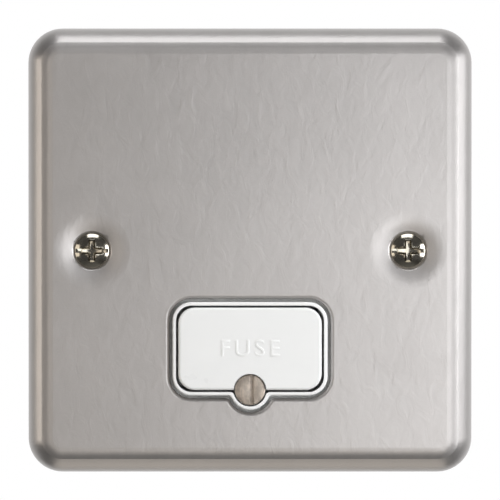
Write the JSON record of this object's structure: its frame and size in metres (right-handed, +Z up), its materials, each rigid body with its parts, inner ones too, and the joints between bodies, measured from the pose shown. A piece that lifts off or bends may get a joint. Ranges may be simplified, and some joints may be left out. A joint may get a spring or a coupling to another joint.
{
  "type": "fused spur unit",
  "caption": "Square metal wall plate with an unswitched fused connection unit: white fuse carrier held by a slotted screw, and screw terminals behind the plate.",
  "frame": {"origin": "middle of the plane on which the plate's rim meets its box, midway between the fixing screws", "axes": "+X to the right seen from the front, +Z up, +Y to the rear, so the front faces -Y"},
  "size_m": [0.085, 0.0261, 0.085],
  "materials": {
    "plate_paint": "satin aluminium grey paint with a faint orange peel",
    "nickel_plate": "bright nickel plate",
    "screw_nickel": "dull plated, turned face",
    "white_moulding": "glossy white moulding",
    "carrier_moulding": "satin white moulding",
    "fuse_ceramic": "unglazed cream ceramic",
    "cap_plate": "nickel plated brass",
    "terminal_brass": "machined brass",
    "contact_brass": "rolled brass strip",
    "screw_steel": "zinc plated steel",
    "zinc_steel": "zinc plated steel"
  },
  "bodies": {
    "unit": {"base_moulding": "white_moulding", "body_nut_lower": "zinc_steel", "body_nut_upper": "zinc_steel", "body_stud_lower": "zinc_steel", "body_stud_upper": "zinc_steel", "carrier_screw_insert": "terminal_brass", "cover_screw_left": "screw_steel", "cover_screw_right": "screw_steel", "cover_screw_top": "screw_steel", "earth_nut": "zinc_steel", "earth_screw_lower": "screw_steel", "earth_screw_upper": "screw_steel", "earth_strap": "zinc_steel", "earth_stud": "zinc_steel", "earth_terminal": "terminal_brass", "fixing_screw_left": "nickel_plate", "fixing_screw_right": "nickel_plate", "front_plate": "plate_paint", "line_in_screw": "screw_steel", "line_in_terminal": "terminal_brass", "line_out_screw": "screw_steel", "line_out_terminal": "terminal_brass", "load_contact": "contact_brass", "neutral_in_screw": "screw_steel", "neutral_out_screw": "screw_steel", "neutral_terminal": "terminal_brass", "rear_cover": "white_moulding", "supply_contact": "contact_brass"},
    "carrier": {"fuse_carrier": "carrier_moulding", "fuse_barrel": "fuse_ceramic", "fuse_cap_left": "cap_plate", "fuse_cap_right": "cap_plate"},
    "carrier_screw": {"carrier_screw": "screw_nickel"}
  },
  "joints": [
    {"name": "carrier_slide", "type": "slide", "parent": "unit", "child": "carrier", "axis": [0, -1, 0], "range_m": [0, 0.02]},
    {"name": "carrier_screw_turn", "type": "hinge", "parent": "carrier", "child": "carrier_screw", "pos_m": [0, -0.0083, -0.0265], "axis": [0, -1, 0], "range_deg": [0, 1800]}
  ]
}
